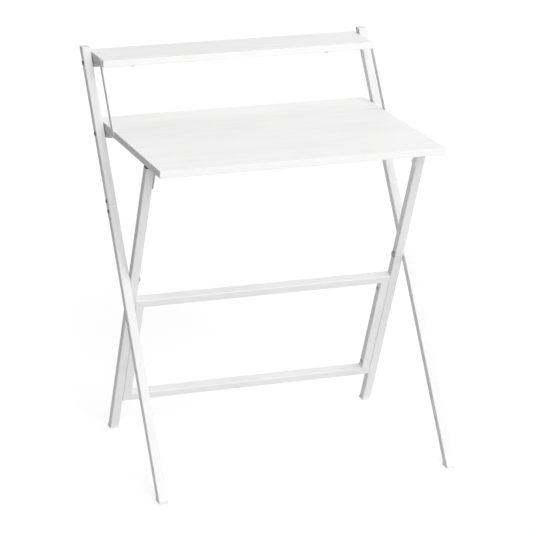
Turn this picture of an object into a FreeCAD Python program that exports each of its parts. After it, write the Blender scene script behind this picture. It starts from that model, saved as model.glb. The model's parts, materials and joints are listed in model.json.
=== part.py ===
import FreeCAD, Part
import math
import os

# Folding desk with a desktop and a raised shelf on crossed tube legs, in millimetres.
# +X is to the right seen from the front, the front faces -Y and +Z is up.
# The origin is on the floor, under the middle of the whole desk.

os.makedirs("parts", exist_ok=True)
V = FreeCAD.Vector

# Desk
overall_width = 685.0          # over the outer faces of the long legs
desktop_height = 727.0         # floor to the top of the desktop
desktop_depth = 510.0
shelf_height = 869.0           # floor to the top of the shelf
shelf_depth = 134.0
board_thickness = 16.0
board_edge_bevel = 0.8
board_side_gap = 2.1           # edge of a board to the inner face of a long leg

# Legs
tube_size = 20.0
tube_wall = 1.2
tube_corner = 2.2
long_lean = 34.0               # degrees from upright, top to the rear
inner_lean = 26.0              # degrees from upright, top to the front
pivot_height = 418.0           # floor to the bolt where the legs cross
lower_leg_length = 677.5       # floor to the splice, along the long leg
upper_post_length = 379.0      # splice to the top of the tube, along the middle of the long leg
leg_gap = 1.2                  # long leg to inner leg

# Splice in the long leg
splice_seam = 0.3
sleeve_length = 92.0
sleeve_wall = 1.5
sleeve_fit = 0.15
splice_bolt_spacing = 24.0

# Plastic ends of the tubes
sole_height = 4.8
sole_lip = 0.6
sole_bevel = 1.2
collar_height = 12.0           # floor to the end of the tube
plug_depth = 22.0
plug_fit = 0.2
plug_rib = 2.4
top_cap_thickness = 4.8
top_cap_bevel = 1.0

# Brace frame: drops run down the inner leg from the crossing bolt, the others up it from the floor
upper_bar_drop = 70.57
upper_bolt_drop = 104.27
lower_bar_along = 102.0
lower_bolt_along = 128.8

# Hinge brackets under the boards
pivot_drop = 6.0               # underside of a board to its hinge axis
desktop_rear_reach = 61.5      # desktop hinge axis to the rear edge
shelf_rear_reach = 39.0        # shelf hinge axis to the rear edge
bracket_thickness = 2.0
bracket_bend = 1.9
bracket_lobe = 11.0
bracket_front_reach = 58.0
bracket_rear_reach = 18.0
bracket_nose = 4.6
bracket_flange = 24.0
bracket_corner = 5.0
bracket_relief = 7.5           # half length of the notch that clears the nut
bracket_screw_inset = 8.0

# Parallel links between the boards
link_thickness = 1.5
link_width = 15.0
link_reach = 76.0              # hinge axis to the link rivet, towards the front
rivet_radius = 2.5
rivet_depth = 22.0
rivet_head_radius = 4.2
rivet_head_depth = 0.8
rivet_recess_fit = 0.1

# Rest pads and latch plates at the top of the inner legs
pad_thickness = 4.0
pad_gap = 0.3
pad_plug_depth = 14.0
latch_thickness = 2.0
latch_gap = 0.5
latch_drop = 54.0              # underside of the desktop to the tip of the plate
latch_width = 22.0
latch_flange = 22.0
latch_corner = 6.0
latch_bend = 1.9
latch_pin_drop = 27.0          # underside of the desktop to the latch pin
latch_slot_fit = 0.35
latch_screw_spacing = 12.0

# Bolts, nuts and washers
pivot_bolt_radius = 4.0
pivot_head_radius = 7.5
hinge_bolt_radius = 3.0
hinge_head_radius = 5.0
splice_bolt_radius = 3.0
splice_head_radius = 4.6
brace_bolt_radius = 3.0
brace_head_radius = 4.6
latch_pin_radius = 3.0
latch_head_radius = 5.4
head_height_share = 0.5        # of the head's radius
hole_fit = 0.1                 # radial, round what stays still
running_fit = 0.06             # radial, in a bore that turns on a pin
side_play = 0.3                # between flat faces that turn on each other
bush_wall = 1.6
washer_radius = 8.8
washer_play = 0.1
spacer_radius = 6.0
nut_radius = 5.2
nut_height = 4.4
pivot_nut_radius = 7.2
pivot_nut_height = 6.0
thread_overhang = 1.5
screw_radius = 1.9
screw_length = 11.0
screw_head_radius = 3.8
screw_head_height = 1.6

# Round buffers under the front of the shelf
buffer_radius = 6.0
buffer_height = 2.4
buffer_bevel = 0.8
buffer_inset = 10.5
buffer_left_x = -251.0
buffer_right_x = 209.0

# Margin that carries a cut clear through
overrun = 5.0

# Places worked out from the sizes above
left, right = -1, 1
half_width = overall_width / 2
half_tube = tube_size / 2
half_link = link_width / 2
long_inner_x = half_width - tube_size
inner_outer_x = long_inner_x - leg_gap
inner_inner_x = inner_outer_x - tube_size
brace_inner_x = inner_inner_x - tube_size
board_half = long_inner_x - board_side_gap
long_angle = math.radians(long_lean)
inner_angle = math.radians(inner_lean)
desktop_under = desktop_height - board_thickness
shelf_under = shelf_height - board_thickness
desktop_hinge_z = desktop_under - pivot_drop
shelf_hinge_z = shelf_under - pivot_drop
front_reach = pivot_height * math.tan(long_angle) + half_tube / math.cos(long_angle) + sole_lip
rear_reach = (shelf_hinge_z - pivot_height) * math.tan(long_angle) + shelf_rear_reach
pivot_y = (front_reach - rear_reach) / 2
desktop_hinge_y = pivot_y + (desktop_hinge_z - pivot_height) * math.tan(long_angle)
shelf_hinge_y = pivot_y + (shelf_hinge_z - pivot_height) * math.tan(long_angle)
long_floor = -pivot_height / math.cos(long_angle)
inner_floor = -pivot_height / math.cos(inner_angle)
splice_along = long_floor + lower_leg_length
long_top = splice_along + upper_post_length
post_top = pivot_height + long_top * math.cos(long_angle)
pad_under = desktop_under - pad_gap - pad_thickness
link_gap = (board_side_gap - link_thickness) / 2
rivet_rise = pivot_drop + board_thickness / 2


def write(name, solids):
    shape = solids[0] if len(solids) == 1 else Part.makeCompound(solids)
    shape.exportStep("parts/" + name + ".step")
    print(name, len(shape.Solids), "solids", round(shape.Volume), "mm3")


def pair(shape):
    """Pieces are drawn for the right side, and the left one is the mirror image."""
    return [shape.mirror(V(0, 0, 0), V(1, 0, 0)), shape]


def write_pair(name, shape):
    for side, solid in zip(("left", "right"), pair(shape)):
        write(name.replace("SIDE", side), [solid])


# Simple solids
def box(x0, x1, y0, y1, z0, z1):
    return Part.makeBox(x1 - x0, y1 - y0, z1 - z0, V(x0, y0, z0))


def rod(x0, x1, place, radius):
    """Rod along X through a place (y, z)."""
    return Part.makeCylinder(radius, x1 - x0, V(x0, place[0], place[1]), V(1, 0, 0))


def ring(x0, x1, place, outer, inner):
    return rod(x0, x1, place, outer).cut(rod(x0 - overrun, x1 + overrun, place, inner))


def slab(z0, z1):
    reach = front_reach + rear_reach
    return box(-overall_width, overall_width, -reach, reach, z0, z1)


def bar(width, depth, corner, z0, z1):
    """Upright bar with round corners and its middle on the Z axis."""
    solid = box(-width / 2, width / 2, -depth / 2, depth / 2, z0, z1)
    upright = [e for e in solid.Edges if e.BoundBox.ZLength > e.BoundBox.DiagonalLength / 2]
    return solid.makeFillet(corner, upright)


def tube(size, wall, corner, z0, z1):
    inside = size / 2 - wall
    hollow = box(-inside, inside, -inside, inside, z0 - overrun, z1 + overrun)
    return bar(size, size, corner, z0, z1).cut(hollow)


def plug_ribs(z0, z1):
    """Cross of two ribs that grips the inside of a tube."""
    grip = half_tube - tube_wall - plug_fit
    across = box(-grip, grip, -plug_rib / 2, plug_rib / 2, z0, z1)
    along = box(-plug_rib / 2, plug_rib / 2, -grip, grip, z0, z1)
    return across.fuse(along)


# Leg frames: Z runs up the leg and starts at the bolt where the legs cross
def turned(shape, lean, x):
    moved = shape.copy()
    moved.Placement = FreeCAD.Placement(V(x, pivot_y, pivot_height), FreeCAD.Rotation(V(1, 0, 0), lean))
    return moved


def on_long(shape):
    return turned(shape, -long_lean, half_width - half_tube)


def on_inner(shape):
    return turned(shape, inner_lean, inner_outer_x - half_tube)


def long_place(along):
    return (pivot_y + along * math.sin(long_angle), pivot_height + along * math.cos(long_angle))


def inner_place(along):
    return (pivot_y - along * math.sin(inner_angle), pivot_height + along * math.cos(inner_angle))


# Fasteners, drawn with the seat of the head at x = 0 and the shank along +X
def dome_bolt(radius, length, head_radius):
    height = head_radius * head_height_share
    ball = (head_radius ** 2 + height ** 2) / (2 * height)
    head = Part.makeSphere(ball, V(ball - height, 0, 0))
    head = head.common(rod(-height, 0, (0, 0), head_radius))
    return head.fuse(rod(0, length, (0, 0), radius))


def hex_nut(bore, radius, height):
    sixth = math.pi / 3
    corners = [V(0, radius * math.cos(i * sixth), radius * math.sin(i * sixth)) for i in range(7)]
    nut = Part.Face(Part.makePolygon(corners)).extrude(V(height, 0, 0))
    return nut.cut(rod(-overrun, height + overrun, (0, 0), bore))


def fitted(shape, x, place, towards):
    """Fastener set at x and a place (y, z), its shank towards the left or the right."""
    facing = shape.copy() if towards == right else shape.mirror(V(0, 0, 0), V(1, 0, 0))
    facing.translate(V(x, place[0], place[1]))
    return facing


def wood_screw(x, y, seat):
    """Pan-head screw driven up from a seat height."""
    shank = Part.makeCylinder(screw_radius, screw_length, V(x, y, seat))
    head = Part.makeCylinder(screw_head_radius, screw_head_height, V(x, y, seat - screw_head_height))
    return head.fuse(shank)


def screw_hole(x, y, seat):
    return Part.makeCylinder(screw_radius + hole_fit, screw_length + hole_fit, V(x, y, seat))


# Outlines in the YZ plane
def line(a, b):
    return Part.LineSegment(V(0, a[0], a[1]), V(0, b[0], b[1])).toShape()


def arc(a, middle, b):
    return Part.Arc(V(0, a[0], a[1]), V(0, middle[0], middle[1]), V(0, b[0], b[1])).toShape()


def plate(edges, x0, x1):
    face = Part.Face(Part.Wire(edges))
    face.translate(V(x0, 0, 0))
    return face.extrude(V(x1 - x0, 0, 0))


def round_point(centre, radius, angle):
    return (centre[0] + radius * math.cos(angle), centre[1] + radius * math.sin(angle))


def tangent_angle(point, centre, radius, turn):
    """Angle on a circle where the line from an outside point touches it."""
    away = math.hypot(point[0] - centre[0], point[1] - centre[1])
    towards = math.atan2(point[1] - centre[1], point[0] - centre[0])
    return towards + turn * math.acos(radius / away)


def capsule(a, b, radius, x0, x1):
    """Plate with round ends between two places (y, z)."""
    heading = math.atan2(b[1] - a[1], b[0] - a[0])
    quarter = math.pi / 2
    a1, a2 = round_point(a, radius, heading + quarter), round_point(a, radius, heading - quarter)
    b1, b2 = round_point(b, radius, heading + quarter), round_point(b, radius, heading - quarter)
    ends = round_point(a, radius, heading + math.pi), round_point(b, radius, heading)
    return plate([line(a1, b1), arc(b1, ends[1], b2), line(b2, a2), arc(a2, ends[0], a1)], x0, x1)


# Places of the bolts along the long leg
desktop_hinge = (desktop_hinge_y, desktop_hinge_z)
shelf_hinge = (shelf_hinge_y, shelf_hinge_z)
crossing = (pivot_y, pivot_height)
splice_places = [long_place(splice_along + step * splice_bolt_spacing / 2) for step in (-1, 1)]


def long_leg_holes():
    """Holes for the bolts of the long leg, whichever tube each of them comes in."""
    middle_x = half_width - half_tube
    holes = [rod(long_inner_x - overrun, middle_x, crossing, pivot_bolt_radius + hole_fit)]
    for place in (desktop_hinge, shelf_hinge):
        holes.append(rod(long_inner_x - overrun, half_width + overrun, place, hinge_bolt_radius + hole_fit))
    for place in splice_places:
        holes.append(rod(middle_x, half_width + overrun, place, splice_bolt_radius + hole_fit))
    return holes


def make_long_legs():
    gap = splice_seam / 2
    lower = on_long(tube(tube_size, tube_wall, tube_corner, long_floor - tube_size, splice_along - gap))
    lower = lower.cut(slab(-tube_size - overrun, collar_height))
    upper = on_long(tube(tube_size, tube_wall, tube_corner, splice_along + gap, long_top + tube_size))
    upper = upper.common(slab(0, post_top))
    sleeve_size = tube_size - 2 * tube_wall - 2 * sleeve_fit
    sleeve = on_long(tube(sleeve_size, sleeve_wall, tube_corner - tube_wall / 2,
                          splice_along - sleeve_length / 2, splice_along + sleeve_length / 2))
    for hole in long_leg_holes():
        lower, upper, sleeve = lower.cut(hole), upper.cut(hole), sleeve.cut(hole)
    write_pair("SIDE_lower_leg", lower)
    write_pair("SIDE_upper_post", upper)
    write_pair("SIDE_splice_sleeve", sleeve)

    nut_x = half_width - tube_wall - sleeve_fit - sleeve_wall
    reach = half_width - nut_x + nut_height + thread_overhang
    bolt = dome_bolt(splice_bolt_radius, reach, splice_head_radius)
    nut = hex_nut(splice_bolt_radius + hole_fit, nut_radius, nut_height)
    bolts, nuts = [], []
    for place in splice_places:
        bolts += pair(fitted(bolt, half_width, place, left))
        nuts += pair(fitted(nut, nut_x, place, left))
    write("splice_bolts", bolts)
    write("splice_nuts", nuts)

    write_pair("SIDE_top_cap", top_cap())


def top_cap():
    """Plastic cap: an upright lid on the post, which is cut level, and ribs inside the post."""
    lid_top = post_top + top_cap_thickness
    lid = bar(tube_size, tube_size / math.cos(long_angle), tube_corner, post_top, lid_top)
    rim = [e for e in lid.Edges if e.BoundBox.ZMin > lid_top - top_cap_bevel]
    lid = lid.makeChamfer(top_cap_bevel, rim)
    lid.translate(V(half_width - half_tube, long_place(long_top)[0], 0))
    ribs = on_long(plug_ribs(long_top - plug_depth, long_top + tube_size))
    return lid.fuse(ribs.common(slab(0, post_top)))


def foot(put_on, place, floor, angle):
    """Plastic foot: a collar flush with the tube, a flat sole and ribs inside the tube."""
    plug_top = floor + collar_height + plug_depth
    collar = put_on(bar(tube_size, tube_size, tube_corner, floor - tube_size, plug_top))
    collar = collar.common(slab(sole_height, collar_height))
    middle = (place(floor)[0] + place(floor + sole_height / math.cos(angle))[0]) / 2
    drift = sole_height * math.tan(angle)
    sole = bar(tube_size + 2 * sole_lip, tube_size / math.cos(angle) + drift + 2 * sole_lip,
               tube_corner, 0, sole_height)
    bottom = [e for e in sole.Edges if e.BoundBox.ZMax < sole_height / 2]
    sole = sole.makeChamfer(sole_bevel, bottom)
    leg_x = put_on(Part.Vertex(0, 0, 0)).BoundBox.Center.x
    sole.translate(V(leg_x, middle, 0))
    ribs = put_on(plug_ribs(floor, plug_top))
    ribs = ribs.cut(slab(-overrun - tube_size, collar_height))
    return collar.fuse(sole).fuse(ribs)


def make_feet():
    write_pair("SIDE_front_foot", foot(on_long, long_place, long_floor, long_angle))
    write_pair("SIDE_rear_foot", foot(on_inner, inner_place, inner_floor, inner_angle))


def make_inner_legs():
    above_pads = tube_size - inner_floor
    leg = on_inner(tube(tube_size, tube_wall, tube_corner, inner_floor - tube_size, above_pads))
    leg = leg.common(slab(collar_height, pad_under))
    bush_radius = pivot_bolt_radius + running_fit + bush_wall
    leg = leg.cut(rod(inner_inner_x - overrun, inner_outer_x + overrun, crossing, bush_radius + hole_fit))
    brace_places = [inner_place(along) for along in (-upper_bolt_drop, inner_floor + lower_bolt_along)]
    wall_x = inner_inner_x + half_tube
    for place in brace_places:
        leg = leg.cut(rod(inner_inner_x - overrun, wall_x, place, brace_bolt_radius + hole_fit))
    leg = leg.cut(rod(inner_inner_x - overrun, wall_x, latch_pin_place, latch_pin_radius + hole_fit))
    write_pair("SIDE_inner_leg", leg)
    write("pivot_bushes", pair(ring(inner_inner_x, inner_outer_x, crossing, bush_radius,
                                    pivot_bolt_radius + running_fit)))

    pad = on_inner(bar(tube_size, tube_size, tube_corner, 0, above_pads))
    pad = pad.common(slab(pad_under, pad_under + pad_thickness))
    ribs = on_inner(plug_ribs(0, above_pads))
    ribs = ribs.common(slab(pad_under - pad_plug_depth, pad_under))
    write_pair("SIDE_rest_pad", pad.fuse(ribs))

    make_brace(brace_places)


def make_brace(brace_places):
    crossbar = tube(tube_size, tube_wall, tube_corner, -inner_inner_x, inner_inner_x)
    crossbar.rotate(V(0, 0, 0), V(0, 1, 0), 90)
    upper_along, lower_along = -upper_bar_drop, inner_floor + lower_bar_along
    for name, along in (("upper_crossbar", upper_along), ("lower_crossbar", lower_along)):
        level = crossbar.translated(V(0, 0, along))
        carrier = Part.makeCompound([level])
        write(name, turned(carrier, inner_lean, 0).Solids)

    brace_x = brace_inner_x + half_tube
    post = turned(tube(tube_size, tube_wall, tube_corner, lower_along + half_tube, upper_along - half_tube),
                  inner_lean, brace_x)
    brace_hole = brace_bolt_radius + hole_fit
    for place in brace_places:
        post = post.cut(rod(brace_inner_x - overrun, inner_inner_x + overrun, place, brace_hole))
    write_pair("SIDE_brace_tube", post)

    nut_x = inner_inner_x + tube_wall
    reach = nut_x - brace_inner_x + nut_height + thread_overhang
    bolt = dome_bolt(brace_bolt_radius, reach, brace_head_radius)
    nut = hex_nut(brace_bolt_radius + hole_fit, nut_radius, nut_height)
    bolts, nuts = [], []
    for place in brace_places:
        bolts += pair(fitted(bolt, brace_inner_x, place, right))
        nuts += pair(fitted(nut, nut_x, place, right))
    write("brace_bolts", bolts)
    write("brace_nuts", nuts)


def make_pivots():
    """Bolts where the legs cross, and the hinge bolts of the two boards."""
    nut_x = long_inner_x + tube_wall
    seat_x = inner_inner_x - side_play
    reach = nut_x - seat_x + pivot_nut_height + thread_overhang
    bolt = dome_bolt(pivot_bolt_radius, reach, pivot_head_radius)
    nut = hex_nut(pivot_bolt_radius + hole_fit, pivot_nut_radius, pivot_nut_height)
    write("pivot_bolts", pair(fitted(bolt, seat_x, crossing, right)))
    write("pivot_nuts", pair(fitted(nut, nut_x, crossing, right)))
    write("pivot_washers", pair(ring(inner_outer_x + washer_play, long_inner_x, crossing, washer_radius,
                                     pivot_bolt_radius + hole_fit)))

    hinge_nut_x = board_half - bracket_thickness - side_play
    reach = half_width - hinge_nut_x + nut_height + thread_overhang
    bolt = dome_bolt(hinge_bolt_radius, reach, hinge_head_radius)
    nut = hex_nut(hinge_bolt_radius + hole_fit, nut_radius, nut_height)
    spacers, nuts = [], []
    for name, place in (("desktop_hinge_bolts", desktop_hinge), ("shelf_hinge_bolts", shelf_hinge)):
        write(name, pair(fitted(bolt, half_width, place, left)))
        nuts += pair(fitted(nut, hinge_nut_x, place, left))
        spacers += pair(ring(board_half + side_play, long_inner_x, place, spacer_radius,
                             hinge_bolt_radius + hole_fit))
    write("hinge_spacers", spacers)
    write("hinge_nuts", nuts)


def bracket(hinge):
    """Angle of sheet steel: a flange screwed to the board and a cheek that tapers from the hinge."""
    y, z = hinge
    under = z + pivot_drop
    nose_z = under - bracket_nose
    front, rear = (y - bracket_front_reach, nose_z), (y + bracket_rear_reach, nose_z)
    front_angle = tangent_angle(front, hinge, bracket_lobe, 1)
    rear_angle = tangent_angle(rear, hinge, bracket_lobe, -1)
    touch_front = round_point(hinge, bracket_lobe, front_angle)
    touch_rear = round_point(hinge, bracket_lobe, rear_angle)
    lowest = round_point(hinge, bracket_lobe, -math.pi / 2)
    front_top, rear_top = (front[0], under), (rear[0], under)
    cheek = plate([line(front_top, front), line(front, touch_front), arc(touch_front, lowest, touch_rear),
                   line(touch_rear, rear), line(rear, rear_top), line(rear_top, front_top)],
                  board_half - bracket_thickness, board_half)
    flange = box(board_half - bracket_flange, board_half, front[0], rear[0],
                 under - bracket_thickness, under)
    corners = [e for e in flange.Edges if e.BoundBox.ZLength > bracket_thickness / 2
               and e.BoundBox.XMax < board_half - bracket_thickness]
    flange = flange.makeFillet(bracket_corner, corners)
    nut_room = nut_height + thread_overhang + 2 * side_play
    relief = box(board_half - bracket_thickness - nut_room, board_half - bracket_thickness,
                 y - bracket_relief, y + bracket_relief, z, under)
    solid = cheek.fuse(flange.cut(relief)).removeSplitter()
    bend = [e for e in solid.Edges if e.BoundBox.YLength > bracket_front_reach
            and e.BoundBox.XMin > board_half - bracket_thickness / 2
            and e.BoundBox.ZMin > under - bracket_bend / 2]
    solid = solid.makeFillet(bracket_bend, bend)
    solid = solid.cut(rod(board_half - bracket_thickness - overrun, board_half + overrun, hinge,
                          hinge_bolt_radius + running_fit))
    for x, place_y in bracket_screw_places(hinge):
        solid = solid.cut(screw_hole(x, place_y, under - bracket_thickness - overrun / 2))
    return solid


def bracket_screw_places(hinge):
    x = board_half - bracket_flange + bracket_screw_inset
    front = hinge[0] - bracket_front_reach + bracket_screw_inset
    middle = hinge[0] - bracket_relief - bracket_screw_inset
    return [(x, front), (x, middle)]


def rivet_place(hinge):
    return (hinge[0] - link_reach, hinge[1] + rivet_rise)


def board(hinge, rear_reach_of_board, depth, holes):
    """Board with eased edges, drilled for its link rivets and screws."""
    under = hinge[1] + pivot_drop
    rear = hinge[0] + rear_reach_of_board
    solid = box(-board_half, board_half, rear - depth, rear, under, under + board_thickness)
    solid = solid.makeChamfer(board_edge_bevel, solid.Edges)
    drill_end = board_half - rivet_depth - hole_fit
    drills = [rod(drill_end, board_half + overrun, rivet_place(hinge), rivet_radius + hole_fit)]
    drills += [screw_hole(x, y, under - bracket_thickness) for x, y in holes]
    for drill in drills:
        for cut in pair(drill):
            solid = solid.cut(cut)
    return solid


def link_rivets(hinge):
    outer_x = board_half + link_gap + link_thickness
    shank = rod(board_half - rivet_depth, outer_x, rivet_place(hinge), rivet_radius)
    head = rod(outer_x - rivet_head_depth, outer_x, rivet_place(hinge), rivet_head_radius)
    return pair(shank.fuse(head).removeSplitter())


def bracket_set(name, hinge):
    under = hinge[1] + pivot_drop
    write_pair(name + "_SIDE_bracket", bracket(hinge))
    screws = []
    for x, y in bracket_screw_places(hinge):
        screws += pair(wood_screw(x, y, under - bracket_thickness))
    write(name + "_bracket_screws", screws)
    write(name + "_link_rivets", link_rivets(hinge))


# The latch pin sits on the middle of the inner leg
latch_pin_z = desktop_under - latch_pin_drop
latch_pin_along = (latch_pin_z - pivot_height) / math.cos(inner_angle)
latch_pin_place = inner_place(latch_pin_along)
latch_outer_x = inner_inner_x - latch_gap
latch_inner_x = latch_outer_x - latch_thickness
latch_top_y = inner_place((desktop_under - pivot_height) / math.cos(inner_angle))[0]


def latch_screw_places():
    x = latch_outer_x - latch_flange / 2
    return [(x, latch_top_y + step * latch_screw_spacing / 2) for step in (-1, 1)]


def latch_plate():
    """Hook under the desktop: its slot opens to the rear the way the latch pin leaves it."""
    tip_along = (desktop_under - latch_drop - pivot_height) / math.cos(inner_angle)
    hook = box(-latch_thickness / 2, latch_thickness / 2, -latch_width / 2, latch_width / 2,
               tip_along, tip_along + latch_drop + latch_width)
    corners = [e for e in hook.Edges if e.BoundBox.XLength > latch_thickness / 2
               and e.BoundBox.ZMax < tip_along + latch_corner]
    hook = hook.makeFillet(latch_corner, corners)
    hook = turned(hook, inner_lean, (latch_inner_x + latch_outer_x) / 2)
    hook = hook.cut(slab(desktop_under, desktop_under + latch_drop + latch_width))
    slot_radius = latch_pin_radius + latch_slot_fit
    way_out = (latch_pin_place[0] + latch_drop * math.cos(long_angle),
               latch_pin_place[1] - latch_drop * math.sin(long_angle))
    hook = hook.cut(capsule(latch_pin_place, way_out, slot_radius,
                            latch_inner_x - overrun, latch_outer_x + overrun))
    half_flange = latch_width / 2 / math.cos(inner_angle)
    flange = box(latch_outer_x - latch_flange, latch_outer_x, latch_top_y - half_flange,
                 latch_top_y + half_flange, desktop_under - latch_thickness, desktop_under)
    solid = hook.fuse(flange).removeSplitter()
    bend = [e for e in solid.Edges if e.BoundBox.YLength > latch_width / 2
            and e.BoundBox.XMin > latch_outer_x - latch_thickness / 2
            and e.BoundBox.ZMin > desktop_under - latch_thickness / 2]
    solid = solid.makeFillet(latch_bend, bend)
    for x, y in latch_screw_places():
        solid = solid.cut(screw_hole(x, y, desktop_under - latch_thickness - overrun / 2))
    return solid


def make_latch():
    write_pair("SIDE_latch_plate", latch_plate())
    screws = []
    for x, y in latch_screw_places():
        screws += pair(wood_screw(x, y, desktop_under - latch_thickness))
    write("latch_screws", screws)
    seat_x = latch_inner_x - latch_gap
    nut_x = inner_inner_x + tube_wall
    pin = dome_bolt(latch_pin_radius, nut_x - seat_x + nut_height + thread_overhang, latch_head_radius)
    nut = hex_nut(latch_pin_radius + hole_fit, nut_radius, nut_height)
    write("latch_pins", pair(fitted(pin, seat_x, latch_pin_place, right)))
    write("latch_nuts", pair(fitted(nut, nut_x, latch_pin_place, right)))


def make_boards():
    desk_holes = bracket_screw_places(desktop_hinge) + latch_screw_places()
    write("desktop_board", [board(desktop_hinge, desktop_rear_reach, desktop_depth, desk_holes)])
    bracket_set("desktop", desktop_hinge)
    shelf_holes = bracket_screw_places(shelf_hinge)
    write("shelf_board", [board(shelf_hinge, shelf_rear_reach, shelf_depth, shelf_holes)])
    bracket_set("shelf", shelf_hinge)
    make_buffers()


def make_buffers():
    front = shelf_hinge_y + shelf_rear_reach - shelf_depth
    buffers = []
    for x in (buffer_left_x, buffer_right_x):
        foot_z = shelf_under - buffer_height
        pad = Part.makeCylinder(buffer_radius, buffer_height, V(x, front + buffer_inset, foot_z))
        rim = [e for e in pad.Edges if e.Closed and e.BoundBox.ZMax < foot_z + buffer_height / 2]
        buffers.append(pad.makeChamfer(buffer_bevel, rim))
    write("shelf_buffers", buffers)


def make_links():
    inner_x = board_half + link_gap
    outer_x = inner_x + link_thickness
    lower, upper = rivet_place(desktop_hinge), rivet_place(shelf_hinge)
    link = capsule(lower, upper, half_link, inner_x, outer_x)
    recess_floor = outer_x - rivet_head_depth - rivet_recess_fit
    recess_radius = rivet_head_radius + rivet_recess_fit
    for place in (lower, upper):
        link = link.cut(rod(inner_x - overrun, outer_x + overrun, place, rivet_radius + running_fit))
        link = link.cut(rod(recess_floor, outer_x + overrun, place, recess_radius))
    write_pair("SIDE_link", link)


make_long_legs()
make_feet()
make_inner_legs()
make_pivots()
make_boards()
make_latch()
make_links()
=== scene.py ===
import bpy
import json
import math
from mathutils import Euler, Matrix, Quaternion, Vector


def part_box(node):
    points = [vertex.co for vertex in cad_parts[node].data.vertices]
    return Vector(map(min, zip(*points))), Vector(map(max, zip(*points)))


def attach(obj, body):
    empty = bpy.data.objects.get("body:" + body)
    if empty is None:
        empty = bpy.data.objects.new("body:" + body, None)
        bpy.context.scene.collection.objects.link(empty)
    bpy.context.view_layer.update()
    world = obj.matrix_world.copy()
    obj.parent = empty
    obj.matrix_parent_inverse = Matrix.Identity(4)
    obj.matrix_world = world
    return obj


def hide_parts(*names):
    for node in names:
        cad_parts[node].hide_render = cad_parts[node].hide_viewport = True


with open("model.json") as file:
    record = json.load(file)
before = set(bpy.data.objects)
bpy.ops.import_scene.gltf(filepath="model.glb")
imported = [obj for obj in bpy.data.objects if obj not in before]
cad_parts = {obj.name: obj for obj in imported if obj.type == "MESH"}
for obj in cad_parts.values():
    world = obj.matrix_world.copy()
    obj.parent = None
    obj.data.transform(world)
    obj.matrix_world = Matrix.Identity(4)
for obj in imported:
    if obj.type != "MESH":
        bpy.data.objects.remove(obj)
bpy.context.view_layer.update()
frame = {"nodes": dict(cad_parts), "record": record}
mm = 0.001
xAxis, yAxis, zAxis = range(3)
bodyOfNode = {node: body for body, nodes in frame["record"]["behaviour"]["bodies"].items() for node in nodes}
slotOfNode = {row["node"]: row["material_slot"] for row in frame["record"]["subparts"]}
scene = bpy.context.scene
print("frame loaded with", len(frame["nodes"]), "nodes")


# A socket that takes part in sums: each operator adds a Math node
class Value:
    def __init__(self, graph, socket):
        self.graph = graph
        self.socket = socket

    def __add__(self, other):
        return self.graph.maths("ADD", self, other)

    def __radd__(self, other):
        return self.graph.maths("ADD", other, self)

    def __sub__(self, other):
        return self.graph.maths("SUBTRACT", self, other)

    def __rsub__(self, other):
        return self.graph.maths("SUBTRACT", other, self)

    def __mul__(self, other):
        return self.graph.maths("MULTIPLY", self, other)

    def __rmul__(self, other):
        return self.graph.maths("MULTIPLY", other, self)

    def __truediv__(self, other):
        return self.graph.maths("DIVIDE", self, other)

    def __rtruediv__(self, other):
        return self.graph.maths("DIVIDE", other, self)

    def __mod__(self, other):
        return self.graph.maths("MODULO", self, other)

    def __rmod__(self, other):
        return self.graph.maths("MODULO", other, self)

    def __neg__(self):
        return self.graph.maths("MULTIPLY", self, -1.0)

    def __abs__(self):
        return self.graph.maths("ABSOLUTE", self)

    def least(self, other):
        return self.graph.maths("MINIMUM", self, other)

    def most(self, other):
        return self.graph.maths("MAXIMUM", self, other)

    def step(self, low, high):
        # 0 below low, 1 above high, smooth between them
        inputs = {"Value": self, "From Min": low, "From Max": high}
        return self.graph.add("ShaderNodeMapRange", {"interpolation_type": "SMOOTHSTEP"}, inputs)


# A node tree whose nodes all come from one method: type, settings first, then its sockets
class Graph:
    def __init__(self, tree):
        self.tree = tree

    def add(self, kind, settings=None, inputs=None, output=0):
        node = self.tree.nodes.new(kind)
        for name, value in (settings or {}).items():
            setattr(node, name, value)
        for name, value in (inputs or {}).items():
            self.feed(node.inputs[name], value)
        return Value(self, node.outputs[output]) if len(node.outputs) else None

    def feed(self, socket, value):
        for one in value if isinstance(value, list) else [value]:
            if isinstance(one, Value):
                self.tree.links.new(one.socket, socket)
            else:
                socket.default_value = one

    def maths(self, operation, *values):
        return self.add("ShaderNodeMath", {"operation": operation}, dict(enumerate(values)))

    def input(self, name, kind, value):
        item = self.tree.interface.new_socket(name, in_out="INPUT", socket_type="NodeSocket" + kind)
        item.default_value = value
        return self.add("NodeGroupInput", output=name)

    def vector(self, x, y, z):
        return self.add("ShaderNodeCombineXYZ", {}, {"X": x, "Y": y, "Z": z})

    def parts(self, vector):
        first = self.add("ShaderNodeSeparateXYZ", {}, {"Vector": vector})
        return [Value(self, socket) for socket in first.socket.node.outputs]

    def mixColour(self, factor, first, second):
        colours = [c if isinstance(c, Value) else (*c, 1.0) for c in (first, second)]
        inputs = {0: factor, 6: colours[0], 7: colours[1]}
        return self.add("ShaderNodeMix", {"data_type": "RGBA"}, inputs, output=2)

    def mixVector(self, factor, first, second):
        return self.add("ShaderNodeMix", {"data_type": "VECTOR"}, {0: factor, 4: first, 5: second}, output=1)

    def noise(self, place, scale, detail=2.0, rough=0.5):
        inputs = {"Vector": place, "Scale": scale, "Detail": detail, "Roughness": rough}
        return self.add("ShaderNodeTexNoise", {}, inputs)

    def bump(self, height, depth, under=None):
        inputs = {"Height": height, "Distance": depth, "Strength": 1.0}
        if under is not None:
            inputs["Normal"] = under
        return self.add("ShaderNodeBump", {}, inputs)


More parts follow.
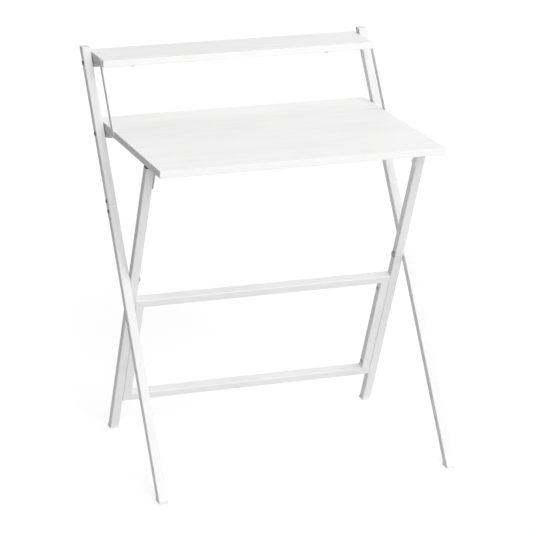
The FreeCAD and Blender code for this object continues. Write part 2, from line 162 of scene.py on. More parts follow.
# Finishes. Scales are features per metre, a span is where a smooth step begins and ends,
# and what ends in Roughness is how far a pattern moves the roughness.
def newFinish(name):
    material = bpy.data.materials.new(name)
    material.use_nodes = True
    material.node_tree.nodes.clear()
    graph = Graph(material.node_tree)
    place = graph.add("ShaderNodeTexCoord", output="Object")
    return material, graph, place


def closeFinish(graph, colour, roughness, normal, fixed):
    # what varies over the surface, then the shader's fixed values
    inputs = {"Base Color": colour, "Roughness": roughness, "Normal": normal, **fixed}
    shader = graph.add("ShaderNodeBsdfPrincipled", {}, inputs)
    graph.add("ShaderNodeOutputMaterial", {}, {"Surface": shader})


powderCoat = {
    "pale": (0.75, 0.75, 0.75), "shade": (0.722, 0.723, 0.727), "roughness": 0.40, "specular": 0.42,
    "cloudScale": 14.0, "cloudDetail": 3.0, "cloudSpan": (0.25, 0.75), "cloudRoughness": 0.10,
    "speckScale": 1900.0, "speckDetail": 1.0, "speckSpan": (0.56, 0.74), "speckShare": 0.30,
    "peelScale": 620.0, "peelDetail": 1.5, "peelRough": 0.4, "peelDepth": 0.035 * mm, "peelRoughness": 0.08,
    "grainScale": 3200.0, "grainDetail": 1.0, "grainDepth": 0.012 * mm,
}


def makePowderCoat():
    size = powderCoat
    material, graph, place = newFinish("whitePowderCoat")
    clouds = graph.noise(place, size["cloudScale"], size["cloudDetail"])
    specks = graph.noise(place, size["speckScale"], size["speckDetail"]).step(*size["speckSpan"])
    peel = graph.noise(place, size["peelScale"], size["peelDetail"], size["peelRough"])
    grain = graph.noise(place, size["grainScale"], size["grainDetail"])
    colour = graph.mixColour(clouds.step(*size["cloudSpan"]), size["pale"], size["shade"])
    colour = graph.mixColour(specks * size["speckShare"], colour, size["shade"])
    normal = graph.bump(peel, size["peelDepth"])
    normal = graph.bump(grain, size["grainDepth"], normal)
    roughness = size["roughness"] + (clouds - 0.5) * size["cloudRoughness"]
    roughness = roughness + (peel - 0.5) * size["peelRoughness"]
    closeFinish(graph, colour, roughness, normal, {"Specular IOR Level": size["specular"]})
    return material


laminate = {
    "pale": (0.943, 0.943, 0.938), "shade": (0.872, 0.872, 0.868), "roughness": 0.44, "specular": 0.40,
    "endSpan": (0.6, 0.8), "driftReach": 45.0 * mm, "streakDepth": 0.05 * mm, "fineRoughness": 0.14,
    "poreDepth": 0.06 * mm, "poreRoughness": 0.08,
    # the band colour, darker than the top, is partly the edge band's own tone and partly painted shade on
    # the edge faces
    "bandToneAndShade": (0.78, 0.78, 0.775), "bandThickness": 0.9 * mm, "bandShare": 0.85,
    "seam": (0.62, 0.62, 0.61), "seamWidth": 0.14 * mm, "seamCoreShare": 1 / 3, "seamShare": 0.55,
    "seamDepth": 0.10 * mm,
}
# noise stretched along the grain; a share is how much of the shade it lays on
laminateGrain = {
    "drift": {"along": 6.0, "across": 9.0, "detail": 2.0, "rough": 0.5},
    "broad": {"along": 1.6, "across": 34.0, "detail": 3.0, "rough": 0.55,
              "span": (0.35, 0.70), "share": 0.35},
    "middle": {"along": 11.0, "across": 110.0, "detail": 2.0, "rough": 0.5,
               "span": (0.38, 0.66), "share": 0.40},
    "fine": {"along": 9.0, "across": 420.0, "detail": 4.0, "rough": 0.6,
             "span": (0.35, 0.75), "share": 0.25},
    "pores": {"along": 70.0, "across": 1300.0, "detail": 1.0, "rough": 0.5,
              "span": (0.60, 0.72), "share": 0.25},
}


def makeLaminate(name, lowest, highest):
    # grain runs along X on the flat faces and the long edges, and along Y on the two ends
    size = laminate
    material, graph, place = newFinish(name)
    x, y, z = graph.parts(place)
    facing = graph.parts(graph.add("ShaderNodeNewGeometry", output="Normal"))
    onEnd = abs(facing[xAxis]).step(*size["endSpan"])
    gx, gy, gz = graph.parts(graph.mixVector(onEnd, place, graph.vector(y, x, z)))

    def stretched(kind, across):
        grain = laminateGrain[kind]
        spot = graph.vector(gx * grain["along"], across * grain["across"], gz * grain["across"])
        return graph.noise(spot, 1.0, grain["detail"], grain["rough"])

    def shaded(kind, pattern):
        return pattern.step(*laminateGrain[kind]["span"]) * laminateGrain[kind]["share"]

    wavy = gy + (stretched("drift", gy) - 0.5) * size["driftReach"]
    broad, middle, fine, pores = (stretched(kind, wavy) for kind in ("broad", "middle", "fine", "pores"))
    streaks = shaded("broad", broad) + shaded("middle", middle) + shaded("fine", fine)
    poreMask = pores.step(*laminateGrain["pores"]["span"])

    # the edge band shows as a hairline round the top, a band's thickness inside the edge
    fromEnd = (x - lowest.x).least(highest.x - x)
    fromSide = (y - lowest.y).least(highest.y - y)
    inside = fromEnd.least(fromSide)
    onBand = 1.0 - inside.step(size["bandThickness"] - size["seamWidth"], size["bandThickness"])
    seamCore = size["seamWidth"] * size["seamCoreShare"]
    seam = 1.0 - abs(inside - size["bandThickness"]).step(seamCore, size["seamWidth"])

    colour = graph.mixColour(streaks, size["pale"], size["shade"])
    colour = graph.mixColour(poreMask * laminateGrain["pores"]["share"], colour, size["shade"])
    # the edge faces take the band colour: partly the band's own tone, partly painted shade that dims the
    # brightly lit edges
    colour = graph.mixColour(onBand * size["bandShare"], colour, size["bandToneAndShade"])
    colour = graph.mixColour(seam * size["seamShare"], colour, size["seam"])
    face = graph.bump(fine, size["streakDepth"])
    face = graph.bump(1.0 - poreMask, size["poreDepth"], face)
    face = graph.bump(1.0 - seam, size["seamDepth"], face)
    roughness = size["roughness"] + (fine - 0.5) * size["fineRoughness"] + poreMask * size["poreRoughness"]
    closeFinish(graph, colour, roughness, face, {"Specular IOR Level": size["specular"]})
    return material


plastic = {
    "grainDetail": 2.0, "grainRough": 0.6, "flowScale": 60.0, "flowDetail": 3.0, "flowRoughness": 0.12,
    "dustScale": 380.0, "dustDetail": 4.0, "dustRough": 0.7, "dustSpan": (0.55, 0.80), "dustShare": 0.15,
    "dustRoughness": 0.06,
}
plasticKinds = {
    "whiteMouldedPlastic": {"pale": (0.79, 0.79, 0.785), "shade": (0.755, 0.755, 0.748), "roughness": 0.50,
                            "grainScale": 2100.0, "grainDepth": 0.02 * mm, "specular": 0.4},
    "blackMouldedPlastic": {"pale": (0.032, 0.032, 0.033), "shade": (0.022, 0.022, 0.023), "roughness": 0.46,
                            "grainScale": 2400.0, "grainDepth": 0.02 * mm, "specular": 0.4},
    "blackRubber": {"pale": (0.075, 0.075, 0.075), "shade": (0.048, 0.048, 0.050), "roughness": 0.72,
                    "grainScale": 1500.0, "grainDepth": 0.03 * mm, "specular": 0.3},
    "whiteNylon": {"pale": (0.78, 0.78, 0.75), "shade": (0.72, 0.72, 0.68), "roughness": 0.42,
                   "grainScale": 900.0, "grainDepth": 0.01 * mm, "specular": 0.5},
}


def makePlastic(name):
    size = {**plastic, **plasticKinds[name]}
    material, graph, place = newFinish(name)
    grain = graph.noise(place, size["grainScale"], size["grainDetail"], size["grainRough"])
    flow = graph.noise(place, size["flowScale"], size["flowDetail"])
    dust = graph.noise(place, size["dustScale"], size["dustDetail"], size["dustRough"])
    dust = dust.step(*size["dustSpan"])
    colour = graph.mixColour(flow, size["pale"], size["shade"])
    colour = graph.mixColour(dust * size["dustShare"], colour, size["pale"])
    roughness = size["roughness"] + (flow - 0.5) * size["flowRoughness"] + dust * size["dustRoughness"]
    normal = graph.bump(grain, size["grainDepth"])
    closeFinish(graph, colour, roughness, normal, {"Specular IOR Level": size["specular"]})
    return material


zinc = {
    "roughness": 0.38, "cloudScale": 260.0, "cloudDetail": 4.0, "cloudRough": 0.6, "cloudSpan": (0.3, 0.7),
    "cloudRoughness": 0.20, "scratchScale": 900.0, "scratchStretch": 0.12, "scratchDetail": 2.0,
    "scratchDepth": 0.006 * mm, "scratchRoughness": 0.10,
}
zincKinds = {
    "darkZinc": {"pale": (0.36, 0.36, 0.37), "shade": (0.23, 0.23, 0.24)},
    "blackZinc": {"pale": (0.13, 0.13, 0.135), "shade": (0.075, 0.075, 0.08)},
}


def makeZinc(name):
    size = {**zinc, **zincKinds[name]}
    material, graph, place = newFinish(name)
    x, y, z = graph.parts(place)
    clouds = graph.noise(place, size["cloudScale"], size["cloudDetail"], size["cloudRough"])
    brushed = graph.vector(x * size["scratchStretch"], y, z)
    scratches = graph.noise(brushed, size["scratchScale"], size["scratchDetail"])
    colour = graph.mixColour(clouds.step(*size["cloudSpan"]), size["pale"], size["shade"])
    roughness = size["roughness"] + (clouds - 0.5) * size["cloudRoughness"]
    roughness = roughness + (scratches - 0.5) * size["scratchRoughness"]
    closeFinish(graph, colour, roughness, graph.bump(scratches, size["scratchDepth"]), {"Metallic": 1.0})
    return material


# by material slot, or by node where a node has its own
finishes = {
    "white_paint": makePowderCoat(),
    "white_plastic": makePlastic("whiteMouldedPlastic"),
    "black_plastic": makePlastic("blackMouldedPlastic"),
    "black_rubber": makePlastic("blackRubber"),
    "nylon": makePlastic("whiteNylon"),
    "steel_fastener": makeZinc("darkZinc"),
}
# the bolts on the long legs look blacker than the other fasteners
blackZinc = makeZinc("blackZinc")
for node in ("splice_bolts", "desktop_hinge_bolts", "shelf_hinge_bolts"):
    finishes[node] = blackZinc
for node in ("desktop_board", "shelf_board"):
    finishes[node] = makeLaminate(node + "_laminate", *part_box(node))
print("finishes made:", len(finishes))


def dress(piece, finish):
    # every face takes the one finish
    piece.data.materials.clear()
    piece.data.materials.append(finish)


def finishOf(node):
    return finishes[node] if node in finishes else finishes[slotOfNode[node]]


def dressNodes():
    for node, piece in frame["nodes"].items():
        dress(piece, finishOf(node))


dressNodes()
print("CAD nodes dressed")


def newObject(name, data):
    made = bpy.data.objects.new(name, data)
    scene.collection.objects.link(made)
    return made


# Pieces made by node trees
def newTree(name, sizes):
    # each size is a named input of the tree, and so is its seed
    graph = Graph(bpy.data.node_groups.new(name, "GeometryNodeTree"))
    for way in ("OUTPUT", "INPUT"):
        graph.tree.interface.new_socket("Geometry", in_out=way, socket_type="NodeSocketGeometry")
    places = graph.add("NodeGroupInput", output="Geometry")
    inputs = {key: graph.input(key, "Float", value) for key, value in sizes.items()}
    return graph, places, inputs, graph.input("seed", "Int", 0)


def closeTree(graph, geometry, finish):
    real = graph.add("GeometryNodeRealizeInstances", {}, {"Geometry": geometry})
    dressed = graph.add("GeometryNodeSetMaterial", {}, {"Geometry": real, "Material": finish})
    graph.add("NodeGroupOutput", {}, {"Geometry": dressed})
    return graph.tree


def scaled(wide, high, shares):
    # outline places from shares of a radius and of a height
    return [(wide * radius, high * height) for radius, height in shares]


def pathPoint(graph, place):
    # the lathe below turns X into radius and minus Y into height
    radius, height = place
    return graph.vector(radius, -height, 0.0)


def runPath(graph, places):
    # straight runs from place to place, each a pair of radius and height
    ends = [pathPoint(graph, place) for place in places]
    return [graph.add("GeometryNodeCurvePrimitiveLine", {}, {"Start": a, "End": b})
            for a, b in zip(ends, ends[1:])]


def bowPath(graph, places, steps=8):
    # a curve from the first place to the third, drawn towards the second
    start, middle, end = (pathPoint(graph, place) for place in places)
    inputs = {"Resolution": steps, "Start": start, "Middle": middle, "End": end}
    return [graph.add("GeometryNodeCurveQuadraticBezier", {}, inputs)]


def threadPath(graph, radius, top, bottom, pitch, depth):
    # a line that steps in and out once in each pitch
    line = runPath(graph, [(radius, top), (radius, bottom)])[0]
    count = (top - bottom) / pitch * 2.0 + 1.0
    line = graph.add("GeometryNodeResampleCurve", {"mode": "COUNT"}, {"Curve": line, "Count": count})
    index = graph.add("GeometryNodeInputIndex")
    inward = graph.vector(-(index % 2.0) * depth, 0.0, 0.0)
    return [graph.add("GeometryNodeSetPosition", {}, {"Geometry": line, "Offset": inward})]


latheRing = 1.0 * mm
mergeReach = 0.002 * mm
hexCorners = 6


def lathe(graph, paths, segments):
    # turns paths about the Z axis; they run from the top down, so that faces point outwards
    profile = graph.add("GeometryNodeJoinGeometry", {}, {"Geometry": paths})
    inputs = {"Geometry": profile, "Translation": (-latheRing, 0.0, 0.0)}
    profile = graph.add("GeometryNodeTransform", {}, inputs)
    inputs = {"Resolution": segments, "Radius": latheRing}
    ring = graph.add("GeometryNodeCurvePrimitiveCircle", {"mode": "RADIUS"}, inputs)
    skin = graph.add("GeometryNodeCurveToMesh", {}, {"Curve": ring, "Profile Curve": profile})
    return graph.add("GeometryNodeMergeByDistance", {}, {"Geometry": skin, "Distance": mergeReach})


def lifted(graph, shape, low, high):
    # a shape centred on the origin goes between two heights
    inputs = {"Geometry": shape, "Translation": graph.vector(0.0, 0.0, (low + high) / 2.0)}
    return graph.add("GeometryNodeTransform", {}, inputs)


def prism(graph, corners, radius, low, high):
    inputs = {"Vertices": corners, "Radius": radius, "Depth": high - low}
    return lifted(graph, graph.add("GeometryNodeMeshCylinder", {}, inputs), low, high)


def bar(graph, long, slim, low, high):
    inputs = {"Size": graph.vector(long, slim, high - low)}
    return lifted(graph, graph.add("GeometryNodeMeshCube", {}, inputs), low, high)


def meet(graph, operation, inputs):
    return graph.add("GeometryNodeMeshBoolean", {"operation": operation, "solver": "EXACT"}, inputs)


def softShade(graph, geometry, sharpAngle=0.6):
    # smooth, but for edges sharper than an angle in radians
    inputs = {"Geometry": geometry, "Shade Smooth": True}
    smooth = graph.add("GeometryNodeSetShadeSmooth", {"domain": "FACE"}, inputs)
    angle = graph.add("GeometryNodeInputMeshEdgeAngle")
    inputs = {"Geometry": smooth, "Shade Smooth": graph.maths("LESS_THAN", angle, sharpAngle)}
    return graph.add("GeometryNodeSetShadeSmooth", {"domain": "EDGE"}, inputs)


def randomValue(graph, least, most, seed):
    inputs = {2: least, 3: most, "Seed": seed}
    return graph.add("FunctionNodeRandomValue", {"data_type": "FLOAT"}, inputs, output=1)


def stand(graph, places, shape, seed):
    # a copy on each place, its Z axis along the place's own facing, turned by chance about it
    facing = graph.add("GeometryNodeInputNamedAttribute", {"data_type": "FLOAT_VECTOR"}, {"Name": "facing"})
    upright = graph.add("FunctionNodeAlignRotationToVector", {"axis": "Z"}, {"Vector": facing})
    turn = randomValue(graph, 0.0, 2.0 * math.pi, seed)
    twist = graph.add("FunctionNodeAxisAngleToRotation", {}, {"Axis": (0.0, 0.0, 1.0), "Angle": turn})
    inputs = {"Rotation": upright, "Rotate By": twist}
    turned = graph.add("FunctionNodeRotateRotation", {"rotation_space": "LOCAL"}, inputs)
    inputs = {"Points": places, "Instance": shape, "Rotation": turned}
    return graph.add("GeometryNodeInstanceOnPoints", {}, inputs)


# shares of the head's radius and height, and of the recess's radius
fastenerHead = {
    "crownShares": [(0.22, 1.0), (0.90, 0.98), (1.0, 0.30)],
    "brimShares": [(1.0, 0.30), (1.0, 0.06), (0.985, 0.0)],
    "crossShare": 0.42,
}


def fastenerTree(name, sizes, recess, finish, segments=44):
    # dome head with a hexagon or a cross recess, and a shank with its thread
    graph, places, s, seed = newTree(name, sizes)
    top, rim, shank, hole = s["headHeight"], s["headRadius"], s["shankRadius"], s["recessRadius"]
    tip = -s["shankLength"]
    plain, tipTop = tip + s["threadLength"], tip + s["pointLength"]
    crown = scaled(rim, top, fastenerHead["crownShares"])
    brim = scaled(rim, top, fastenerHead["brimShares"])
    paths = runPath(graph, [(0.0, top), crown[0]])
    paths += bowPath(graph, crown)
    paths += runPath(graph, [*brim, (shank, 0.0), (shank, plain)])
    paths += threadPath(graph, shank, plain, tipTop, s["threadPitch"], s["threadDepth"])
    paths += runPath(graph, [(shank, tipTop), (s["pointRadius"], tip), (0.0, tip)])
    body = lathe(graph, paths, segments)
    floor, above = top - s["recessDepth"], top + s["recessDepth"]
    if recess == "hexagon":
        cutters = [prism(graph, hexCorners, hole, floor, above)]
    else:
        long, slim = hole * 2.0, hole * fastenerHead["crossShare"]
        cutters = [bar(graph, x, y, floor, above) for x, y in ((long, slim), (slim, long))]
    body = meet(graph, "DIFFERENCE", {"Mesh 1": body, "Mesh 2": cutters})
    return closeTree(graph, stand(graph, places, softShade(graph, body), seed), finish)


def grow(name, tree, mesh, sizes, seed, body, replaced=()):
    # runs the tree on a mesh of places and keeps the result as a plain mesh
    source = newObject(name + "_source", mesh)
    modifier = source.modifiers.new(name, "NODES")
    modifier.node_group = tree
    sockets = {item.name: item.identifier for item in tree.interface.items_tree if item.in_out == "INPUT"}
    for key, value in {**sizes, "seed": seed}.items():
        modifier[sockets[key]] = value
    evaluated = source.evaluated_get(bpy.context.evaluated_depsgraph_get())
    result = bpy.data.meshes.new_from_object(evaluated)
    bpy.data.objects.remove(source)
    piece = newObject(name, result)
    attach(piece, body)
    if replaced:
        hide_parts(*replaced)
    print(name, len(piece.data.polygons), "faces")


def placesMesh(name, places):
    # each place is a point and the direction that the head faces
    mesh = bpy.data.meshes.new(name)
    mesh.from_pydata([point for point, facing in places], [], [])
    attribute = mesh.attributes.new("facing", "FLOAT_VECTOR", "POINT")
    attribute.data.foreach_set("vector", [c for point, facing in places for c in facing])
    return mesh


# corners that round to the same number of metres are one, within a reach is on a level,
# and what is farther out than the rim's share belongs to the head's rim
measuring = {"digits": 6, "reach": 0.01 * mm, "rimShare": 0.97}


def solidsOf(node):
    # the separate solids of a CAD node, as lists of points
    mesh = frame["nodes"][node].data
    keys = [tuple(round(c, measuring["digits"]) for c in vertex.co) for vertex in mesh.vertices]
    parent = {key: key for key in keys}

    def root(key):
        while parent[key] != key:
            parent[key] = parent[parent[key]]
            key = parent[key]
        return key

    for face in mesh.polygons:
        first = root(keys[face.vertices[0]])
        for index in face.vertices[1:]:
            parent[root(keys[index])] = first
    groups = {}
    for key in parent:
        groups.setdefault(root(key), []).append(Vector(key))
    return [groups[key] for key in sorted(groups)]


def spread(points, axis):
    values = [point[axis] for point in points]
    return min(values), max(values)


def measureFastener(points, axis):
    # seat of the head, the direction it faces, and the sizes of head and shank
    others = [a for a in range(3) if a != axis]
    middle = [sum(spread(points, a)) / 2 for a in range(3)]
    away = [math.hypot(*(point[a] - middle[a] for a in others)) for point in points]
    wide = max(away)
    rim = [point[axis] for point, far in zip(points, away) if far > wide * measuring["rimShare"]]
    low, high = spread(points, axis)
    headUp = high - max(rim) < min(rim) - low
    seat, tip = (min(rim), low) if headUp else (max(rim), high)
    facing = [0.0, 0.0, 0.0]
    facing[axis] = 1.0 if headUp else -1.0
    middle[axis] = seat
    shank = [far for point, far in zip(points, away) if abs(point[axis] - tip) < measuring["reach"]]
    sizes = {"headRadius": wide, "headHeight": high - seat if headUp else seat - low,
             "shankRadius": max(shank), "shankLength": abs(seat - tip)}
    return (tuple(middle), tuple(facing)), sizes


boltThread = {"threadPitch": 1.0 * mm, "threadDepth": 0.35 * mm, "threadLength": 9.0 * mm,
              "pointLength": 0.5 * mm, "pointRadius": 2.4 * mm, "recessRadius": 2.1 * mm,
              "recessDepth": 1.7 * mm}
pivotThread = {**boltThread, "threadPitch": 1.25 * mm, "pointRadius": 3.3 * mm, "recessRadius": 2.9 * mm,
               "recessDepth": 2.3 * mm}
screwThread = {"threadPitch": 1.5 * mm, "threadDepth": 0.45 * mm, "threadLength": 9.0 * mm,
               "pointLength": 1.6 * mm, "pointRadius": 0.5 * mm, "recessRadius": 1.9 * mm,
               "recessDepth": 1.0 * mm}

# node, axis of the shank, recess, thread and seed
fasteners = [
    ("splice_bolts", xAxis, "hexagon", boltThread, 3),
    ("desktop_hinge_bolts", xAxis, "hexagon", boltThread, 4),
    ("shelf_hinge_bolts", xAxis, "hexagon", boltThread, 5),
    ("brace_bolts", xAxis, "hexagon", boltThread, 6),
    ("latch_pins", xAxis, "hexagon", boltThread, 7),
    ("pivot_bolts", xAxis, "hexagon", pivotThread, 11),
    ("desktop_bracket_screws", zAxis, "cross", screwThread, 21),
    ("shelf_bracket_screws", zAxis, "cross", screwThread, 22),
    ("latch_screws", zAxis, "cross", screwThread, 23),
]


def makeFasteners(node, axis, recess, thread, seed):
    found = [measureFastener(points, axis) for points in solidsOf(node)]
    sizes = {**found[0][1], **thread}
    tree = fastenerTree(node + "_tree", sizes, recess, finishOf(node))
    places = placesMesh(node, [place for place, measured in found])
    grow(node + "_made", tree, places, sizes, seed, bodyOfNode[node], [node])


for row in fasteners:
    makeFasteners(*row)

# heights are shares of the nut's height, radii of its corner radius or bore, and the two outlines
# go by the corner radius and by the height of the hexagon or of the collar
lockNut = {
    "hexShare": 0.70, "collarShare": 0.29,
    "easeShares": [(0.0, 1.0), (0.885, 1.0), (1.01, 0.84), (1.01, 0.12), (0.90, 0.0), (0.0, 0.0)],
    "collarShares": [(0.72, 1.0), (0.78, 1.0), (0.84, 0.7), (0.84, -0.2), (0.72, -0.2), (0.72, 1.0)],
    "seed": 31,
}
nutInsert = {"lowShare": 0.68, "highShare": 0.96, "outerShare": 0.715, "innerShare": 0.87, "ease": 0.15 * mm,
             "seed": 32}


def nutTree(name, sizes, finish, segments=44):
    # hexagon with eased corners and a round collar that holds the nylon
    graph, places, s, seed = newTree(name, sizes)
    high, wide, bore, collar = s["hexHeight"], s["cornerRadius"], s["boreRadius"], s["collarHeight"]
    hexagon = prism(graph, hexCorners, wide, 0.0, high)
    lens = lathe(graph, runPath(graph, scaled(wide, high, lockNut["easeShares"])), segments)
    body = meet(graph, "INTERSECT", {"Mesh 2": [hexagon, lens]})
    drill = prism(graph, segments, bore, -high, high * 2.0)
    body = meet(graph, "DIFFERENCE", {"Mesh 1": body, "Mesh 2": [drill]})
    outline = [(radius, high + height) for radius, height in scaled(wide, collar, lockNut["collarShares"])]
    ring = lathe(graph, runPath(graph, outline), segments)
    shape = graph.add("GeometryNodeJoinGeometry", {}, {"Geometry": [body, ring]})
    return closeTree(graph, stand(graph, places, softShade(graph, shape), seed), finish)


def ringTree(name, sizes, finish, segments=44):
    # plain round insert between two radii and two heights
    graph, places, s, seed = newTree(name, sizes)
    inner, outer, low, high, ease = (s[key] for key in ("innerRadius", "outerRadius", "low", "high", "ease"))
    outline = [(inner, high - ease), (inner + ease, high), (outer - ease, high), (outer, high - ease),
               (outer, low), (inner, low), (inner, high - ease)]
    shape = lathe(graph, runPath(graph, outline), segments)
    return closeTree(graph, stand(graph, places, softShade(graph, shape), seed), finish)


def makeHingeNuts():
    places = []
    for points in solidsOf("hinge_nuts"):
        low, high = spread(points, xAxis)
        inward = -1.0 if low > 0 else 1.0
        seat = high if low > 0 else low
        middle = [sum(spread(points, axis)) / 2 for axis in (yAxis, zAxis)]
        away = [math.hypot(point.y - middle[0], point.z - middle[1]) for point in points]
        places.append(((seat, *middle), (inward, 0.0, 0.0)))
    height, corner, bore = high - low, max(away), min(away)
    sizes = {"hexHeight": height * lockNut["hexShare"], "cornerRadius": corner, "boreRadius": bore,
             "collarHeight": height * lockNut["collarShare"]}
    tree = nutTree("hinge_nut_tree", sizes, finishes["steel_fastener"])
    grow("hinge_nuts_made", tree, placesMesh("hinge_nuts", places), sizes, lockNut["seed"],
         "leg_frame", ["hinge_nuts"])
    sizes = {"innerRadius": bore * nutInsert["innerShare"], "outerRadius": corner * nutInsert["outerShare"],
             "low": height * nutInsert["lowShare"], "high": height * nutInsert["highShare"],
             "ease": nutInsert["ease"]}
    tree = ringTree("nut_insert_tree", sizes, finishes["nylon"])
    grow("hinge_nut_inserts", tree, placesMesh("nut_inserts", places), sizes, nutInsert["seed"],
         "leg_frame")


makeHingeNuts()

# outline from the middle of the hollow over the rolled rim to the foot, in shares of radius and height
buffer = {
    "bowShares": [[(0.0, 0.72), (0.34, 0.72), (0.42, 0.95)], [(0.42, 0.95), (0.52, 1.02), (0.64, 0.985)],
                  [(0.64, 0.985), (0.95, 0.93), (0.97, 0.52)]],
    "wallShares": [(0.97, 0.52), (0.93, 0.40), (1.0, 0.30), (1.0, 0.04), (0.98, 0.0), (0.0, 0.0)],
    "seed": 41,
}


def bufferTree(name, sizes, finish, segments=56):
    # round rubber foot with a rolled rim and a hollow in the middle
    graph, places, s, seed = newTree(name, sizes)
    paths = []
    for shares in buffer["bowShares"]:
        paths += bowPath(graph, scaled(s["radius"], s["height"], shares))
    paths += runPath(graph, scaled(s["radius"], s["height"], buffer["wallShares"]))
    shape = lathe(graph, paths, segments)
    return closeTree(graph, stand(graph, places, softShade(graph, shape), seed), finish)


def makeBuffers():
    places = []
    for points in solidsOf("shelf_buffers"):
        (left, right), (front, rear), (low, high) = (spread(points, axis) for axis in range(3))
        places.append((((left + right) / 2, (front + rear) / 2, high), (0.0, 0.0, -1.0)))
    sizes = {"height": high - low, "radius": (right - left) / 2}
    tree = bufferTree("buffer_tree", sizes, finishes["black_rubber"])
    grow("shelf_buffers_made", tree, placesMesh("buffers", places), sizes, buffer["seed"],
         "shelf", ["shelf_buffers"])


makeBuffers()

# from taperFrom to taperTo of its length a bead swells from endShare of its radius to all of it
weld = {"radius": 1.5 * mm, "step": 0.3 * mm, "ripplePitch": 1.5 * mm, "rippleShare": 0.26,
        "chanceShare": 0.03, "taperFrom": -0.04, "taperTo": 0.07, "endShare": 0.55}
flushWeld = {**weld, "radius": 0.8 * mm, "rippleShare": 0.18}
weldLayout = {"cornerInset": 2.2 * mm, "cornerSink": 0.35 * mm, "cornerStandOff": 0.15 * mm,
              "flushSink": 0.58 * mm, "endInset": 1.6 * mm, "seed": 51}


def weldTree(name, sizes, finish, sides=12, sharpAngle=1.0):
    # a bead along each edge of the given mesh, with the ripples of a torch that moves on in steps
    graph, edges, s, seed = newTree(name, sizes)
    path = graph.add("GeometryNodeMeshToCurve", {}, {"Mesh": edges})
    inputs = {"Curve": path, "Length": s["step"]}
    path = graph.add("GeometryNodeResampleCurve", {"mode": "LENGTH"}, inputs)
    index = graph.add("GeometryNodeInputIndex")
    wave = abs(graph.maths("SINE", index * s["step"] / s["ripplePitch"] * math.pi))
    chance = randomValue(graph, -1.0, 1.0, seed)
    along = graph.add("GeometryNodeSplineParameter", output="Factor")
    taper = along.least(1.0 - along).step(s["taperFrom"], s["taperTo"])
    ripple = 1.0 + (wave - 0.5) * s["rippleShare"] + chance * s["chanceShare"]
    swell = ripple * (s["endShare"] + taper * (1.0 - s["endShare"]))
    inputs = {"Resolution": sides, "Radius": s["radius"]}
    profile = graph.add("GeometryNodeCurvePrimitiveCircle", {"mode": "RADIUS"}, inputs)
    inputs = {"Curve": path, "Profile Curve": profile, "Scale": swell, "Fill Caps": True}
    bead = graph.add("GeometryNodeCurveToMesh", {}, inputs)
    return closeTree(graph, softShade(graph, bead, sharpAngle), finish)


def makeWelds():
    # the brace tubes are welded to the crossbars: a fillet in the inner corner, flush beads front and rear
    ends = [sum(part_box(node), Vector()) / 2 for node in ("lower_crossbar", "upper_crossbar")]
    up = (ends[1] - ends[0]).normalized()
    across = Vector((0.0, up.z, -up.y))
    corners, flush = [], []
    for node in ("left_brace_tube", "right_brace_tube"):
        points = [vertex.co for vertex in frame["nodes"][node].data.vertices]
        side = -1.0 if points[0].x < 0 else 1.0
        inner = min(abs(point.x) for point in points)
        outer = max(abs(point.x) for point in points)
        rear, front = (f(point.dot(across) for point in points) for f in (max, min))
        for end, turn in ((min, 1.0), (max, -1.0)):
            level = end(point.dot(up) for point in points)
            x = side * (inner - weldLayout["cornerStandOff"])
            lift = up * (level + turn * weldLayout["cornerSink"])
            inset, sink = weldLayout["cornerInset"], weldLayout["flushSink"]
            corners.append([Vector((x, 0.0, 0.0)) + lift + across * place
                            for place in (front + inset, rear - inset)])
            for place in (front + sink, rear - sink):
                flush.append([Vector((side * far, 0.0, 0.0)) + up * level + across * place
                              for far in (inner + weldLayout["endInset"], outer - weldLayout["endInset"])])
    rows = (("brace_corner_welds", corners, weld), ("brace_flush_welds", flush, flushWeld))
    for name, runs, sizes in rows:
        mesh = bpy.data.meshes.new(name)
        points = [point for run in runs for point in run]
        mesh.from_pydata(points, [(i, i + 1) for i in range(0, len(points), 2)], [])
        tree = weldTree(name + "_tree", sizes, finishes["white_paint"])
        grow(name, tree, mesh, sizes, weldLayout["seed"], "inner_frame")


makeWelds()

boardEdge = {"radius": 1.2 * mm, "segments": 4}


def makeBoard(node):
    # flat panel with rounded edges, its long faces kept flat by hardened normals
    low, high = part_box(node)
    corners = [(x, y, z) for x in (low.x, high.x) for y in (low.y, high.y) for z in (low.z, high.z)]
    faces = [(0, 1, 3, 2), (4, 6, 7, 5), (0, 4, 5, 1), (2, 3, 7, 6), (0, 2, 6, 4), (1, 5, 7, 3)]
    mesh = bpy.data.meshes.new(node + "_panel")
    mesh.from_pydata(corners, [], faces)
    mesh.shade_smooth()
    panel = newObject(node + "_panel", mesh)
    dress(panel, finishes[node])
    bevel = panel.modifiers.new("edges", "BEVEL")
    bevel.limit_method = "NONE"
    bevel.width = boardEdge["radius"]
    bevel.segments = boardEdge["segments"]
    bevel.harden_normals = True
    evaluated = panel.evaluated_get(bpy.context.evaluated_depsgraph_get())
    panel.data = bpy.data.meshes.new_from_object(evaluated)
    panel.modifiers.clear()
    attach(panel, bodyOfNode[node])
    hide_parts(node)
    print(panel.name, len(panel.data.polygons), "faces")


for board in ("desktop_board", "shelf_board"):
    makeBoard(board)

# Studio: white ground and sky to the camera, plain soft light on the desk. Lengths are in metres.
studio = {
    "floorHalf": 40.0, "floorGlow": 0.66, "floorDiffuse": 0.40,
    "floorBounce": 0.80, "cardBounce": 0.30, "cardFull": -1.6, "cardNone": -0.3,
    "skyLevel": 1.36, "skyLeast": 0.02, "skyNone": -0.75, "skyFull": 0.25,
    "keyStrength": 1.70, "keyToward": (0.0, -0.86, 0.50), "keySpreadDegrees": 35.0,
    "flagHalf": 0.45, "flagDepth": 0.20, "flagRise": 0.48,
}
white = (1.0, 1.0, 1.0, 1.0)


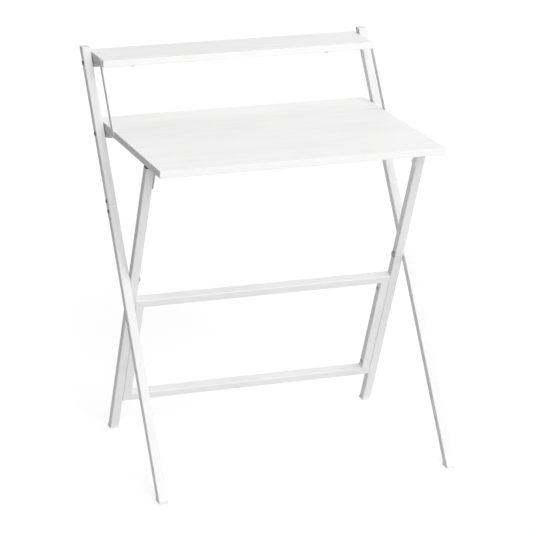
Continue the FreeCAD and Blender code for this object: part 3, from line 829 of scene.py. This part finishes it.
def seenDirectly(graph):
    # 1 for rays of the camera, of mirror-like faces and of glass
    outputs = graph.add("ShaderNodeLightPath").socket.node.outputs
    names = ("Is Camera Ray", "Is Glossy Ray", "Is Transmission Ray")
    camera, glossy, transmission = (Value(graph, outputs[name]) for name in names)
    return camera.most(glossy).most(transmission)


def levelCard(name, half, front, rear, level):
    mesh = bpy.data.meshes.new(name)
    corners = [(-half, front, level), (half, front, level), (half, rear, level), (-half, rear, level)]
    mesh.from_pydata(corners, [], [(0, 1, 2, 3)])
    return newObject(name, mesh)


def makeFloor():
    half = studio["floorHalf"]
    floor = levelCard("studio_floor", half, -half, half, 0.0)
    material, graph, place = newFinish("paleFloor")
    level = studio["floorDiffuse"]
    shown = graph.add("ShaderNodeBsdfDiffuse", {}, {"Color": (level, level, level, 1.0)})
    glow = graph.add("ShaderNodeEmission", {}, {"Color": white, "Strength": studio["floorGlow"]})
    shown = graph.add("ShaderNodeAddShader", {}, {0: shown, 1: glow})
    # a dark card lies on the floor to the left, so that the left sides stay darker than the fronts
    beside = graph.parts(place)[xAxis].step(studio["cardFull"], studio["cardNone"])
    greys = [(studio[name],) * 3 for name in ("cardBounce", "floorBounce")]
    felt = graph.add("ShaderNodeBsdfDiffuse", {}, {"Color": graph.mixColour(beside, *greys)})
    mixed = graph.add("ShaderNodeMixShader", {}, {0: seenDirectly(graph), 1: felt, 2: shown})
    graph.add("ShaderNodeOutputMaterial", {}, {"Surface": mixed})
    dress(floor, material)


def makeSky():
    # brighter to the right; the camera and mirror-like faces see plain white
    world = bpy.data.worlds.new("studio")
    scene.world = world
    world.use_nodes = True
    world.node_tree.nodes.clear()
    graph = Graph(world.node_tree)
    direction = graph.add("ShaderNodeTexCoord", output="Generated")
    rightward = graph.parts(direction)[xAxis].step(studio["skyNone"], studio["skyFull"])
    level = rightward * studio["skyLevel"] + studio["skyLeast"]
    light = graph.add("ShaderNodeBackground", {}, {"Strength": level})
    plain = graph.add("ShaderNodeBackground", {}, {"Color": white, "Strength": 1.0})
    mixed = graph.add("ShaderNodeMixShader", {}, {0: seenDirectly(graph), 1: light, 2: plain})
    graph.add("ShaderNodeOutputWorld", {}, {"Surface": mixed})


def makeKey():
    lamp = bpy.data.lights.new("key", "SUN")
    lamp.energy = studio["keyStrength"]
    lamp.angle = math.radians(studio["keySpreadDegrees"])
    key = newObject("key", lamp)
    key.rotation_mode = "QUATERNION"
    key.rotation_quaternion = Vector(studio["keyToward"]).to_track_quat("Z", "Y")


def makeFlag():
    # a dark card over the shelf keeps some of the sky off it, as its top is duller than the desktop's
    low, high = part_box("shelf_board")
    front, level = low.y, high.z + studio["flagRise"]
    flag = levelCard("shelf_flag", studio["flagHalf"], front, front + studio["flagDepth"], level)
    dress(flag, finishes["black_plastic"])
    flag.visible_camera = False
    flag.visible_glossy = False


# Camera, found from the edges in the photograph: place in metres, angles in degrees, sensor in millimetres
photoCamera = {"place": (-1.7390, -5.2833, 2.0957), "yaw": 18.243, "tilt": 73.159, "roll": -0.094,
               "focalPixels": 2585.17, "imagePixels": 533, "sensor": 36.0}


def makeCamera():
    size = photoCamera
    lens = bpy.data.cameras.new("photo_camera")
    lens.sensor_width = size["sensor"]
    lens.lens = size["focalPixels"] / size["imagePixels"] * size["sensor"]
    camera = newObject("photo_camera", lens)
    camera.location = size["place"]
    aimed = Euler((math.radians(size["tilt"]), 0.0, math.radians(-size["yaw"]))).to_quaternion()
    camera.rotation_mode = "QUATERNION"
    camera.rotation_quaternion = aimed @ Quaternion((0.0, 0.0, 1.0), math.radians(size["roll"]))
    scene.camera = camera


makeFloor()
makeSky()
makeKey()
makeFlag()
makeCamera()
scene.view_settings.view_transform = "Standard"
print("studio ready")
